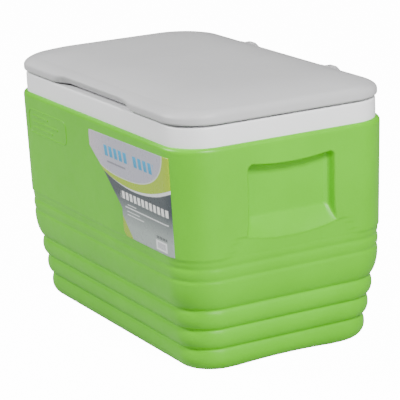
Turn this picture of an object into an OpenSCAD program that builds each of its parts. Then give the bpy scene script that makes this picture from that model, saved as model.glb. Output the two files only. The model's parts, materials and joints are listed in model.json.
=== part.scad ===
// Hard-sided insulated cooler chest, 34.5 litres, with a rear-hinged lid.
// X runs along the length, the front looks to -Y, and the base stands on Z = 0.

/* [Body] */
// Length of the outer shell at its widest, along X
body_l = 540; // [536:1:544]
// Width of the outer shell at its widest, along Y
body_w = 338; // [334:1:342]
// Height of the top edge of the outer shell
shell_h = 321; // [318:1:324]
// Corner radius of the outer shell at its widest
corner_r = 57; // [52:1:62]
// Wall thickness of the outer shell
wall = 3; // [2.5:0.5:3]
// How far the base outline stands in from the widest outline
base_inset = 34; // [33:1:35]

/* [Ribs] */
// Height of the first groove above the base
first_groove_z = 33; // [32:1:34]
// Distance from one groove to the next
rib_pitch = 29.4; // [29:0.1:29.8]
// Inset of the lowest rib's crest
low_rib_inset = 22; // [21:0.5:23]
// How much each rib steps out past the one below
rib_step = 4.7; // [4.4:0.1:5]
// Depth of a groove below the crest of its rib
groove_depth = 3.2; // [2:0.1:3.4]

/* [Hand-holds] */
// Width of a hand-hold at its top edge
hold_w = 140; // [130:1:146]
// Height of the top edge of a hand-hold
hold_top_z = 292; // [286:1:296]
// Height of the lowest point of a hand-hold
hold_low_z = 179; // [176:1:184]
// Depth of a hand-hold below the end face
hold_depth = 17; // [12:1:18]
// How far the middle of the grip edge bows down
grip_bow = 6; // [4:1:8]

/* [Liner] */
// Height of the top face of the rim
rim_h = 349; // [348:1:350]
// Inset of the rim's outer wall
rim_inset = 4.8; // [4.5:0.1:5.5]
// Inset of the tub's mouth from the widest outline
mouth_inset = 33; // [32:1:34]
// Inset of the tub's wall where it meets the floor
floor_inset = 51; // [50:1:52]
// Height of the tub's inner floor
floor_z = 38; // [36:1:40]
// Wall thickness of the liner
liner_wall = 2.5; // [2:0.1:3]

/* [Lid] */
// Height of the lid's lower lip
lip_z = 351; // [350.5:0.5:351]
// Inset of the lid's outer edge from the widest outline
lid_inset = 2.2; // [1.5:0.1:3]
// Height of the lid's crown
crown_z = 383.5; // [382:0.5:385]
// Depth that the lid's plug reaches into the tub, below the lid flange
plug_depth = 11; // [8:1:13]
// Wall thickness of the lid cover
lid_wall = 2.5; // [2:0.1:3]
// Width of the finger recess at the lid's lower lip
recess_w = 244; // [230:1:250]
// Depth of the finger recess from the lid's front edge
recess_depth = 12; // [8:1:13]

/* [Hinges] */
// Distance of each hinge from the middle of the chest
hinge_x = 114; // [100:1:130]
// Distance of the hinge axis behind the middle of the chest
hinge_y = 173; // [173:0.5:175]
// Height of the hinge axis
hinge_z = 355; // [355:0.5:356]
// Width of the lid's hinge lug
lug_w = 16; // [14:1:20]
// Radius of the lug's knuckle
lug_r = 7; // [6.5:0.1:7]
// Radius of the hinge pin
pin_r = 2; // [1.8:0.1:2.2]

/* [Hidden] */

green = [0.50, 0.84, 0.14];
grey = [0.74, 0.74, 0.75];
white = [0.92, 0.92, 0.92];
foam_yellow = [0.93, 0.86, 0.62];
steel = [0.68, 0.69, 0.71];

corner_steps = 10;        // facets on each rounded corner
ring_n = 4 * (corner_steps + 1);
corner_shrink = 0.38;     // how fast a corner tightens as the outline steps in
cut = 1;                  // how far a cutting solid passes a face

// Shoulder band above the ribs, then one bead, each between two grooves
shoulder_z = 131;
shoulder_inset = 5.2;
bead_low_z = 136;
bead_low_inset = 6.9;
bead_z = 147;
bead_inset = 4.7;
bead_top_z = 153;
bead_top_inset = 6.2;
panel_z = 166;            // lower edge of the flat side panels
panel_inset = 3.2;
hold_bend_z = 215;        // where a hand-hold's back wall turns into its sloping floor
top_round = 6;            // height of the shell's rounded top edge
flange_inset = 12;        // inner edge of the shell's top flange
skirt = 3;                // thickness of the rim's skirt and of the shell's flange
tub_corner_r = 38;

front_y = body_w / 2 - lid_inset;       // lid's outer edge, front and back
flange_z = rim_h + 0.5;                 // underside of the lid's flange
plug_z = flange_z - plug_depth;         // underside of the lid's plug
plug_inset = mouth_inset + 3.5;
dome_start = 10;                        // inset where the lid's edge meets its dome
dome_end = 130;                         // inset where the dome is flat
shoulder_drop = 12;                     // height of the dome above the edge
side_fall = 10;                         // extra inset of the dome's edge at the long sides
edge_h = 9;                             // height of the lid's upright edge
recess_top_z = lip_z + 13;
recess_back_w = recess_w - 72;          // its width at the back, past the slanted ends

lug_depth = 17;           // how far a lug reaches in over the lid
lug_top_z = 369.8;        // level top of a lug, behind the lid's edge
lug_top_r = 5;            // rounding from that top down to the knuckle
lug_top = [166.5, lug_top_z - lug_top_r];
ear_w = 9;
ear_gap = 0.5;            // side gap between lug and ear
ear_r = 5;
bracket_w = 66;
bracket_t = 3.5;
bracket_low_z = 325;
bracket_top_z = rim_h - 1.5;
rim_y = body_w / 2 - rim_inset;         // rear face of the rim
bracket_screw_x = 28;
bracket_screw_z = 335;
bracket_screw_r = 1.6;
head_r = 3.2;
head_h = 1.8;
lug_screw_x = 4;
lug_screw_y = 157;
lug_screw_r = 1.5;
pin_fit = 0.02;           // clearance of the pin in the ears
pin_run = 0.06;           // running clearance of the pin in the lug

arch_w = 150;             // width, height and length of the arch under each end
arch_h = 2.4;
arch_l = 32;

fill_x = 130;
fill_r = 13;
fill_gap = 0.2;
lid_fill_r = 11;

// One outline: height, inset from the widest outline, corner radius, extra inset of its long sides
function level(z, inset) = [z, inset, corner_r - corner_shrink * inset, 0];
function tub_level(z, inset) = [z, inset, tub_corner_r - 0.3 * (inset - mouth_inset), 0];
function lid_level(z, inset, side = 0) =
    [z, inset, min(corner_r, body_w / 2 - inset - side), side];

// The same outlines moved outwards by d
function grown(levels, d) = [for (p = levels) [p[0], p[1] - d, p[2] + d, p[3]]];

// Points of one outline, once round
function ring(p) = [
    for (corner = [0:3], step = [0:corner_steps])
        let (a = 90 * (corner + step / corner_steps),
             sx = (corner == 0 || corner == 3) ? 1 : -1,
             sy = corner < 2 ? 1 : -1)
        [sx * (body_l / 2 - p[1] - p[2]) + p[2] * cos(a),
         sy * (body_w / 2 - p[1] - p[3] - p[2]) + p[2] * sin(a),
         p[0]]
];

// A rib swells in two quarter ellipses, from a lower groove out to its crest and back
function rib(z0, t0, zc, tc, z1, t1, steps) = concat(
    [for (i = [0:steps - 1]) let (a = 90 * i / steps)
        level(zc - (zc - z0) * cos(a), tc + (t0 - tc) * (1 - sin(a)))],
    [for (i = [0:steps - 1]) let (a = 90 * i / steps)
        level(zc + (z1 - zc) * sin(a), tc + (t1 - tc) * (1 - cos(a)))]
);

function groove_z(k) = k < 0 ? 0 : first_groove_z + k * rib_pitch;
function crest_inset(k) = low_rib_inset - k * rib_step;
function groove_inset(k) = k < 0 ? base_inset : crest_inset(k) + groove_depth;

shell_levels = concat(
    rib(0, base_inset, 0.62 * first_groove_z, crest_inset(0), groove_z(0), groove_inset(0), 3),
    rib(groove_z(0), groove_inset(0), groove_z(0) + 0.6 * rib_pitch, crest_inset(1),
        groove_z(1), groove_inset(1), 3),
    rib(groove_z(1), groove_inset(1), groove_z(1) + 0.6 * rib_pitch, crest_inset(2),
        groove_z(2), groove_inset(2), 3),
    rib(groove_z(2), groove_inset(2), shoulder_z, shoulder_inset,
        bead_low_z, bead_low_inset, 3),
    rib(bead_low_z, bead_low_inset, bead_z, bead_inset, bead_top_z, bead_top_inset, 2),
    [level(bead_top_z, bead_top_inset), level(158, 4.8), level(panel_z - 1.5, 4.5),
     level(panel_z, panel_inset)],
    [for (a = [0:30:90])
        level(shell_h - top_round * (1 - sin(a)), 5 * (1 - cos(a)))]
);

// Inner face of the shell, clear of every groove by the wall thickness
cavity_levels = concat(
    [level(wall, base_inset + wall), level(15, groove_inset(0) + wall)],
    [for (k = [0:2]) level(groove_z(k), groove_inset(k) + wall + 0.3)],
    [level(110, 10.4), level(bead_low_z, bead_low_inset + wall),
     level(panel_z, panel_inset + wall + 1), level(shell_h - 7, wall),
     level(shell_h - wall, wall + 1.5)]
);

rim_levels = [level(shell_h, rim_inset), level(rim_h - 2, rim_inset),
              level(rim_h - 0.6, rim_inset + 0.6), level(rim_h, rim_inset + 2)];

rim_hollow_levels = [level(shell_h, rim_inset + skirt),
                     level(rim_h - liner_wall, rim_inset + skirt)];

// Inside of the tub, with a rounded floor edge and a rounded mouth
tub_levels = concat(
    [for (a = [0:30:90])
        tub_level(floor_z + 12 * (1 - cos(a)), floor_inset + 12 * (1 - sin(a)))],
    [for (a = [0:30:90])
        tub_level(rim_h - 3 * (1 - sin(a)), mouth_inset - 3 * (1 - cos(a)))]
);

tub_outer_levels = [tub_level(floor_z - liner_wall, floor_inset + 9),
                    tub_level(floor_z + 3, floor_inset + 1),
                    tub_level(floor_z + 12, floor_inset - liner_wall),
                    tub_level(rim_h - 3, mouth_inset - liner_wall),
                    tub_level(rim_h - liner_wall + 0.01, mouth_inset - liner_wall)];

// Height of the lid's dome at an inset from its ends, and how much further in from its long
// sides it reaches that height, because it falls away more towards them
function dome_part(t) = (dome_end - t) / (dome_end - dome_start);
function dome_z(t) = crown_z - shoulder_drop * pow(dome_part(t), 3.5);
function dome_level(t, drop) = lid_level(dome_z(t) - drop, t, side_fall * dome_part(t));

// Outside of the lid: rounded lip, upright edge, quarter-ellipse shoulder, dome
lid_levels = concat(
    [lid_level(lip_z, lid_inset + 2.5), lid_level(lip_z + 0.8, lid_inset + 0.7),
     lid_level(lip_z + 2.5, lid_inset), lid_level(lip_z + edge_h, lid_inset)],
    [for (a = [25:32.5:90])
        lid_level(lip_z + edge_h + (dome_z(dome_start) - lip_z - edge_h) * sin(a),
                  lid_inset + (dome_start - lid_inset) * (1 - cos(a)),
                  side_fall * pow(sin(a), 2))],
    [for (t = [20, 32, 50, 75, 100, dome_end]) dome_level(t, 0)]
);

lid_cavity_levels = concat(
    [lid_level(lip_z - cut, lid_inset + lid_wall), lid_level(lip_z + edge_h, lid_inset + lid_wall),
     dome_level(dome_start + 1, lid_wall + 1)],
    [for (t = [20, 32, 50, 75, 100, dome_end]) dome_level(t, lid_wall)]
);

// Outline of the lid's plug, d in from its widest
function plug_level(z, d) = [z, plug_inset + d, tub_corner_r - 3.5 - d, 0];

// Plug with a rounded lower edge, and the hollow above its floor
plug_levels = concat(
    [for (a = [0:30:90]) plug_level(plug_z + 4 * (1 - cos(a)), 4 * (1 - sin(a)))],
    [plug_level(flange_z + 0.1, 0)]
);
plug_hollow_levels = [plug_level(plug_z + liner_wall, liner_wall + 3),
                      plug_level(plug_z + liner_wall + 3, liner_wall),
                      plug_level(flange_z + liner_wall, liner_wall)];

module slab(low, high) {
    hull()
        polyhedron(points = concat(ring(low), ring(high)),
                   faces = [[for (i = [0:ring_n - 1]) ring_n - 1 - i],
                            [for (i = [0:ring_n - 1]) ring_n + i]]);
}

module loft(levels) {
    for (i = [0:len(levels) - 2]) slab(levels[i], levels[i + 1]);
}

// Both ends of the chest, left then right
module both_ends() {
    children();
    mirror([1, 0, 0]) children();
}

// An outline drawn in Y and Z, pushed a little way along X
module end_plate(x) {
    translate([x, 0, 0]) rotate([90, 0, 90]) linear_extrude(0.1) children();
}

// Upper part of a hand-hold's outline: rounded corners and a grip edge that bows down
module hold_upper() {
    bow_r = (pow(hold_w / 2 - 9, 2) + pow(grip_bow, 2)) / (2 * grip_bow);
    difference() {
        hull()
            for (s = [-1, 1]) {
                translate([s * (hold_w / 2 - 10), hold_top_z - 9]) circle(r = 9, $fn = 32);
                translate([s * (hold_w / 2 - 2), hold_bend_z + 1]) circle(r = 1, $fn = 12);
            }
        translate([0, hold_top_z - grip_bow + bow_r]) circle(r = bow_r, $fn = 180);
    }
}

// Lower part, which flares out to a lower edge that bows down
module hold_lower() {
    intersection() {
        hull()
            for (s = [-1, 1]) {
                translate([s * (hold_w / 2 - 2), hold_bend_z + 1]) circle(r = 1, $fn = 12);
                translate([s * (hold_w / 2 - 5), hold_low_z + 13]) circle(r = 13, $fn = 32);
            }
        translate([0, hold_low_z + 223]) circle(r = 223, $fn = 180);
    }
}

// The hollow of one hand-hold, or with grow the solid that its walls fill
module hold(grow) {
    back_x = body_l / 2 - 1.5 - hold_depth - grow;
    translate([back_x, 0, 0]) rotate([90, 0, 90])
        linear_extrude(body_l / 2 + cut - back_x) offset(r = grow) hold_upper();
    hull() {
        end_plate(body_l / 2 + cut) offset(r = grow) hold_lower();
        end_plate(back_x)
            translate([-hold_w / 2 + 1 - grow, hold_bend_z - grow])
                square([hold_w - 2 + 2 * grow, 2 + 2 * grow]);
    }
}

// Shallow arch under each end, which leaves the corners as feet
module base_arch() {
    arch_r = (pow(arch_w / 2, 2) + pow(arch_h, 2)) / (2 * arch_h);
    translate([body_l / 2 - base_inset - arch_l, 0, arch_h - arch_r])
        rotate([0, 90, 0]) cylinder(r = arch_r, h = 2 * arch_l, $fn = 360);
}

module fill_ports(r) {
    for (s = [-1, 1]) translate([s * fill_x, 0, -cut]) cylinder(r = r, h = wall + 2 * cut, $fn = 48);
}

module outer_shell() {
    color(green)
        difference() {
            loft(shell_levels);
            both_ends() hold(0);
            difference() {
                loft(cavity_levels);
                both_ends() hold(wall);
                both_ends() translate([0, 0, wall]) base_arch();
            }
            slab(level(shell_h - wall, flange_inset), level(shell_h + cut, flange_inset));
            both_ends() base_arch();
            fill_ports(fill_r);
        }
}

// Threaded holes that the bracket screws cut in the rim
module bracket_screw_holes() {
    for (s = [-1, 1], side = [-1, 1])
        translate([s * hinge_x + side * bracket_screw_x, rim_y + cut, bracket_screw_z])
            rotate([90, 0, 0]) cylinder(r = bracket_screw_r + 0.1, h = 14, $fn = 24);
}

module liner() {
    color(white)
        difference() {
            union() {
                difference() {
                    loft(rim_levels);
                    loft(rim_hollow_levels);
                    slab(level(shell_h - cut, rim_inset + skirt), level(shell_h, rim_inset + skirt));
                }
                loft(tub_outer_levels);
            }
            loft(tub_levels);
            slab(tub_level(rim_h - 0.01, mouth_inset - 3), tub_level(rim_h + cut, mouth_inset - 3));
            bracket_screw_holes();
        }
}

module body_foam() {
    color(foam_yellow)
        difference() {
            union() {
                loft(cavity_levels);
                slab(level(shell_h - wall, flange_inset), level(shell_h, flange_inset));
                loft(rim_hollow_levels);
            }
            loft(tub_outer_levels);
            both_ends() hold(wall);
            both_ends() translate([0, 0, wall]) base_arch();
            bracket_screw_holes();
        }
}

// Press-in plug that closes a foam-filling port in the base
module fill_plug(side) {
    color(green)
        translate([side * fill_x, 0, 0.4])
            cylinder(r = fill_r - fill_gap, h = wall - 0.5, $fn = 48);
}

// Outline of the printed label on the front, in X and Z
module label_outline() {
    polygon([[-5, 304], [-7, 281], [36, 250], [61, 229], [80, 212], [85, 205], [85, 171],
             [89, 168], [228, 168], [229, 307]]);
}

module label() {
    color([0.24, 0.25, 0.26])
        intersection() {
            difference() {
                loft(grown(shell_levels, 0.3));
                loft(shell_levels);
            }
            rotate([90, 0, 0]) linear_extrude(body_w) label_outline();
        }
}

// Bracket on the back of the rim: a plate with two ears that hold the pin
module hinge_bracket(side) {
    color(grey)
        translate([side * hinge_x, 0, 0])
            difference() {
                union() {
                    translate([-bracket_w / 2, rim_y, bracket_low_z])
                        cube([bracket_w, bracket_t, bracket_top_z - bracket_low_z]);
                    for (s = [-1, 1])
                        translate([s * (lug_w / 2 + ear_gap + ear_w / 2) - ear_w / 2, 0, 0])
                            rotate([90, 0, 90]) {
                                linear_extrude(ear_w)
                                    polygon([[rim_y + 1, bracket_low_z + 3],
                                             [rim_y + bracket_t, bracket_low_z + 3],
                                             [hinge_y + 3, hinge_z - 12],
                                             [hinge_y + ear_r - 0.1, hinge_z - 1],
                                             [hinge_y - ear_r + 0.1, hinge_z - 1],
                                             [rim_y + bracket_t, bracket_top_z],
                                             [rim_y + 1, bracket_top_z]]);
                                translate([hinge_y, hinge_z]) cylinder(r = ear_r, h = ear_w, $fn = 48);
                            }
                }
                translate([-bracket_w / 2, hinge_y, hinge_z])
                    rotate([0, 90, 0]) cylinder(r = pin_r + pin_fit, h = bracket_w, $fn = 48);
                for (s = [-1, 1])
                    translate([s * bracket_screw_x, rim_y - cut, bracket_screw_z])
                        rotate([-90, 0, 0])
                            cylinder(r = bracket_screw_r + 0.1, h = bracket_t + 2 * cut, $fn = 24);
            }
}

module bracket_screws(side) {
    color(steel)
        for (s = [-1, 1])
            translate([side * hinge_x + s * bracket_screw_x, rim_y + bracket_t, bracket_screw_z])
                rotate([90, 0, 0]) {
                    cylinder(r = bracket_screw_r, h = 14, $fn = 24);
                    translate([0, 0, -head_h])
                        difference() {
                            cylinder(r1 = head_r - 0.7, r2 = head_r, h = head_h, $fn = 32);
                            for (turn = [0, 90])
                                rotate([0, 0, turn])
                                    translate([-1.8, -0.35, -cut]) cube([3.6, 0.7, cut + 0.9]);
                        }
                }
}

// Headed pin, pushed through both ears and the lug
module hinge_pin(side) {
    pin_l = lug_w + 2 * (ear_gap + ear_w);
    color(steel)
        translate([side * hinge_x - pin_l / 2, hinge_y, hinge_z])
            rotate([0, 90, 0]) {
                cylinder(r = pin_r, h = pin_l + 1.2, $fn = 48);
                translate([0, 0, -1.5]) cylinder(r = pin_r + 1.4, h = 1.4, $fn = 48);
                translate([0, 0, -0.2]) cylinder(r = pin_r, h = 0.4, $fn = 48);
            }
}

// Scoop in the front of the lid, for the fingers
module finger_recess(grow) {
    hull() {
        translate([0, -front_y - cut, 0]) rotate([90, 0, 0]) linear_extrude(0.1)
            polygon([[-recess_w / 2 - grow, lip_z - 4], [recess_w / 2 + grow, lip_z - 4],
                     [recess_w / 2 - 14 + grow, recess_top_z + grow],
                     [-recess_w / 2 + 14 - grow, recess_top_z + grow]]);
        translate([0, -front_y + recess_depth + grow, 0]) rotate([90, 0, 0]) linear_extrude(0.1)
            polygon([[-recess_back_w / 2 - grow, lip_z - 4], [recess_back_w / 2 + grow, lip_z - 4],
                     [recess_back_w / 2 - 6 + grow, lip_z + 7 + grow],
                     [-recess_back_w / 2 + 6 - grow, lip_z + 7 + grow]]);
    }
}

// Slots in the back edge of the lid that the hinge lugs fill
module lug_slots(gap) {
    for (s = [-1, 1])
        translate([s * hinge_x - lug_w / 2 - gap, front_y - lug_depth - gap, lip_z + 1])
            cube([lug_w + 2 * gap, lug_depth + 12, 40]);
}

module lid_cover() {
    color(grey)
        difference() {
            loft(lid_levels);
            difference() {
                loft(lid_cavity_levels);
                finger_recess(lid_wall);
            }
            finger_recess(0);
            lug_slots(0.1);
            for (s = [-1, 1])
                translate([s * hinge_x - lug_w / 2 - 0.1, front_y - 6, lip_z - cut])
                    cube([lug_w + 0.2, 10, 10]);
        }
}

module lid_screw_holes() {
    for (s = [-1, 1], side = [-1, 1])
        translate([s * hinge_x + side * lug_screw_x, lug_screw_y, flange_z - cut]) {
            cylinder(r = lug_screw_r + 0.1, h = 20, $fn = 24);
            cylinder(r = head_r, h = cut + 1.7, $fn = 32);
        }
}

// Lower face of the lid: a flange over the rim and a plug that reaches into the tub
module lid_liner() {
    color(white)
        difference() {
            union() {
                slab(lid_level(flange_z, lid_inset + lid_wall + 0.1),
                     lid_level(flange_z + liner_wall, lid_inset + lid_wall + 0.1));
                loft(plug_levels);
            }
            loft(plug_hollow_levels);
            slab(plug_level(flange_z + liner_wall, liner_wall),
                 plug_level(flange_z + liner_wall + cut, liner_wall));
            finger_recess(lid_wall + 0.05);
            lid_screw_holes();
            translate([0, 0, plug_z - cut]) cylinder(r = lid_fill_r, h = 2 * liner_wall, $fn = 48);
        }
}

module lid_foam() {
    color(foam_yellow)
        difference() {
            union() {
                intersection() {
                    loft(lid_cavity_levels);
                    translate([-body_l / 2, -body_w / 2, flange_z + liner_wall])
                        cube([body_l, body_w, 60]);
                }
                loft(plug_hollow_levels);
            }
            finger_recess(lid_wall);
            lug_slots(0.1);
        }
}

// Where a circle touches the line that runs along the lug's top rounding and its knuckle
function lug_tangent(centre, r) =
    let (d = [hinge_y, hinge_z] - lug_top,
         turn = atan2(d[1], d[0]) + acos((lug_top_r - lug_r) / norm(d)))
    centre + r * [cos(turn), sin(turn)];

// Hinge lug let into the back edge of the lid, with a knuckle round the pin
module lid_hinge(side) {
    low_z = flange_z + liner_wall;
    color(grey)
        translate([side * hinge_x - lug_w / 2, 0, 0])
            difference() {
                rotate([90, 0, 90]) {
                    linear_extrude(lug_w)
                        polygon([[front_y - lug_depth, lip_z + 1], [front_y - 2, lip_z + 1],
                                 [hinge_y - 2, hinge_z - 6.6], [hinge_y, hinge_z],
                                 lug_tangent([hinge_y, hinge_z], lug_r - 0.01),
                                 lug_tangent(lug_top, lug_top_r - 0.01),
                                 [lug_top[0], lug_top_z - 0.01],
                                 [front_y - lug_depth + 7, lug_top_z],
                                 [front_y - lug_depth, lug_top_z + 2.8]]);
                    translate([hinge_y, hinge_z]) cylinder(r = lug_r, h = lug_w, $fn = 64);
                    translate(lug_top) cylinder(r = lug_top_r, h = lug_w, $fn = 64);
                }
                translate([-cut, hinge_y, hinge_z])
                    rotate([0, 90, 0]) cylinder(r = pin_r + pin_run, h = lug_w + 2 * cut, $fn = 48);
                for (s = [-1, 1])
                    translate([lug_w / 2 + s * lug_screw_x, lug_screw_y, low_z - cut])
                        cylinder(r = lug_screw_r + 0.02, h = 14 + cut, $fn = 24);
            }
}

module lid_hinge_screws(side) {
    color(steel)
        for (s = [-1, 1])
            translate([side * hinge_x + s * lug_screw_x, lug_screw_y, flange_z + 0.2]) {
                translate([0, 0, 1]) cylinder(r = lug_screw_r, h = 13, $fn = 24);
                difference() {
                    cylinder(r1 = head_r - 0.6, r2 = head_r - 0.1, h = 1.4, $fn = 32);
                    for (turn = [0, 90])
                        rotate([0, 0, turn])
                            translate([-1.6, -0.35, -cut]) cube([3.2, 0.7, cut + 0.7]);
                }
            }
}

// Press-in plug that closes the foam-filling port in the lid
module lid_fill_plug() {
    color(white)
        translate([0, 0, plug_z + 0.2])
            cylinder(r = lid_fill_r - fill_gap, h = liner_wall - 0.3, $fn = 48);
}

outer_shell();
liner();
body_foam();
fill_plug(-1);  // fill_plug_left
fill_plug(1);  // fill_plug_right
label();
hinge_bracket(-1);  // hinge_bracket_left
hinge_bracket(1);  // hinge_bracket_right
bracket_screws(-1);  // bracket_screws_left
bracket_screws(1);  // bracket_screws_right
hinge_pin(-1);  // hinge_pin_left
hinge_pin(1);  // hinge_pin_right
lid_cover();
lid_liner();
lid_foam();
lid_hinge(-1);  // lid_hinge_left
lid_hinge(1);  // lid_hinge_right
lid_hinge_screws(-1);  // lid_hinge_screws_left
lid_hinge_screws(1);  // lid_hinge_screws_right
lid_fill_plug();
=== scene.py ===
"""Finished look of an insulated cooler chest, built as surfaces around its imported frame.

Lengths are metres, X runs along the chest, the front looks to -Y and the base stands on Z = 0.
"""

import json
import math

import bpy
import numpy as np
from bpy.props import FloatProperty, FloatVectorProperty, PointerProperty
from mathutils import Matrix, Vector


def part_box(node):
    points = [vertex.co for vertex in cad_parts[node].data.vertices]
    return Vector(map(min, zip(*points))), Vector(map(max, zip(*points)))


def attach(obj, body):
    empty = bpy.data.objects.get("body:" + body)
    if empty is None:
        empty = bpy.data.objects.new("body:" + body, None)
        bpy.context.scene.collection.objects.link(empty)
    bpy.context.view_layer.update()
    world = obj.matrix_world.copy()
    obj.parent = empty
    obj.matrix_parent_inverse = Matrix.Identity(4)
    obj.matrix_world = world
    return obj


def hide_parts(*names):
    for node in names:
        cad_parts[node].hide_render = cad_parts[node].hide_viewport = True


bl_info = {
    "name": "Cooler chest",
    "version": (1, 0, 0),
    "blender": (4, 5, 0),
    "location": "3D View > Sidebar > Cooler",
    "description": "Builds the moulded shells, lid, label and finishes of a cooler chest",
    "category": "Object",
}

MM = 0.001
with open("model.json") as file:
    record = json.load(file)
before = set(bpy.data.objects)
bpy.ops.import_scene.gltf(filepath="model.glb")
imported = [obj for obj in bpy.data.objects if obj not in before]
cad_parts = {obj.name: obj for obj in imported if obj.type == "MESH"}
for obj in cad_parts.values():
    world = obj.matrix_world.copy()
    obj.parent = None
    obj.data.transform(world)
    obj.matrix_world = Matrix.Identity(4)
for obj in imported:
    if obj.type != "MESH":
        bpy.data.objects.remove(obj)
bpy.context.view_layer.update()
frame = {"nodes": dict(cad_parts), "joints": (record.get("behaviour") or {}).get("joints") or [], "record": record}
SHELL_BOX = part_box("outer_shell")
LINER_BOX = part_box("liner")
COVER_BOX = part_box("lid_cover")
PAN_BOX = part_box("lid_liner")
LABEL_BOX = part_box("label")
LUG_BOXES = {side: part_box("lid_hinge_" + side) for side in ("left", "right")}
HINGE = Vector(frame["joints"][0]["pos_m"])
FINISHES = {}

HALF_L = SHELL_BOX[1].x
HALF_W = SHELL_BOX[1].y
SHELL_TOP = SHELL_BOX[1].z
RIM_TOP = LINER_BOX[1].z
LIP_Z = COVER_BOX[0].z
CROWN_Z = COVER_BOX[1].z

PANEL_Z = 166 * MM  # height of the step below the upper panel
LOW_BOW = 10 * MM  # how far a hand-hold's lower edge rises towards its ends
LID_CORNER = 57 * MM
DOME_EDGE, DOME_FLAT = 10 * MM, 130 * MM  # insets between which the lid's top is domed
POLE = 0.001  # shrink of a ring that closes to a point

LIGHTS = (  # name, place, size, watts
    ("key", (2.3, -0.2, 2.1), 0.7, 120.0),
    ("end_fill", (2.9, 0.4, 1.2), 1.2, 30.0),
    ("front_fill", (-1.5, -2.3, 2.2), 1.0, 132.0),
)


# ------------------------ settings


def length(name, description, default):
    """A length in metres that a user may change."""
    return FloatProperty(name=name, description=description, default=default, min=0.0, unit="LENGTH")


def colour(name, description, default):
    """A linear colour that a user may change."""
    return FloatVectorProperty(
        name=name, description=description, default=default, size=3, min=0.0, max=1.0, subtype="COLOR"
    )


class ShellSettings(bpy.types.PropertyGroup):
    """Sizes and colour of the ribbed shell."""

    corner: length("Corner radius", "Radius of the shell's upright corners", 57 * MM)
    base_inset: length("Base inset", "How far the base stands in from the widest outline", 34 * MM)
    first_groove: length("First groove", "Height of the lowest groove", 33 * MM)
    rib_pitch: length("Rib pitch", "Distance from one groove to the next", 29.4 * MM)
    low_rib: length("Lowest rib", "Inset of the lowest rib's crest", 22 * MM)
    rib_step: length("Rib step", "How much each rib steps out past the one below", 4.7 * MM)
    groove: length("Groove depth", "Depth of a groove below its rib's crest", 3.2 * MM)
    rounding: length("Rounding", "Softening of every moulded edge", 0.9 * MM)
    hold_width: length("Hand-hold width", "Width of a hand-hold at its grip edge", 138 * MM)
    hold_top: length("Hand-hold top", "Height of the grip edge at its ends", 292 * MM)
    hold_low: length("Hand-hold bottom", "Lowest point of a hand-hold", 181 * MM)
    hold_bend: length("Hand-hold bend", "Height where the back wall meets the sloping floor", 213 * MM)
    hold_depth: length("Hand-hold depth", "Depth of a hand-hold below the end face", 16.5 * MM)
    grip_bow: length("Grip bow", "How far the middle of the grip edge bows down", 6.5 * MM)
    green: colour("Shell colour", "Colour of the moulded shell", (0.11, 0.52, 0.0))


class LidSettings(bpy.types.PropertyGroup):
    """Sizes and colours of the lid and the rim."""

    inset: length("Lid inset", "Inset of the lid's edge from the shell's widest outline", 2.2 * MM)
    edge: length("Edge height", "Height of the lid's upright edge above its lip", 9 * MM)
    shoulder: length("Shoulder drop", "Height of the dome above the edge", 12 * MM)
    side_fall: length("Side fall", "Extra inset of the dome's edge along the front and back", 10 * MM)
    wall: length("Wall", "Wall thickness of the cover", 2.5 * MM)
    recess_half: length("Recess half-width", "Half the width of the finger recess", 122 * MM)
    recess_ramp: length("Recess ramp", "Length of the recess's slanted ends", 30 * MM)
    recess_depth: length("Recess depth", "Depth of the finger recess", 14 * MM)
    recess_height: length("Recess height", "Height of the finger recess above the lip", 14 * MM)
    rim_inset: length("Rim inset", "Inset of the rim's outer wall", 4.8 * MM)
    mouth_inset: length("Mouth inset", "Inset of the tub's mouth", 33 * MM)
    grey: colour("Lid colour", "Colour of the moulded lid", (0.50, 0.50, 0.505))
    white: colour("Liner colour", "Colour of the liner and rim", (0.89, 0.89, 0.90))


class LabelSettings(bpy.types.PropertyGroup):
    """Inks of the printed label."""

    lift: length("Label thickness", "Thickness of the film above the shell", 0.25 * MM)
    silver: colour("Silver ink", "Upper panel of the label", (0.40, 0.40, 0.47))
    lime: colour("Lime ink", "Crescent round the upper panel", (0.33, 0.50, 0.0))
    cyan: colour("Cyan ink", "Slanted bars on the upper panel", (0.0, 0.26, 0.48))
    charcoal: colour("Charcoal ink", "Dark field of the label", (0.045, 0.058, 0.066))
    mist: colour("Pale ink", "Foot of the label", (0.33, 0.38, 0.36))


class StudioSettings(bpy.types.PropertyGroup):
    """Camera and lights."""

    azimuth: FloatProperty(name="Azimuth", description="Camera turn about Z", default=61.45)
    elevation: FloatProperty(name="Elevation", description="Camera height angle", default=15.34)
    roll: FloatProperty(name="Roll", description="Camera turn about its own axis", default=-2.37)
    distance: length("Distance", "Camera distance from the aim point", 3.022)
    lens: FloatProperty(name="Lens", description="Focal length in millimetres", default=185.1)
    ambient: FloatProperty(name="Ambient", description="Light from the surroundings", default=0.22)
    backdrop: FloatProperty(name="Backdrop", description="Brightness of the backdrop", default=14.0)
    aim: FloatVectorProperty(
        name="Aim", description="Point the camera looks at", default=(0.0032, 0.0015, 0.1720),
        subtype="XYZ",
    )


# ------------------------ surfaces


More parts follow.
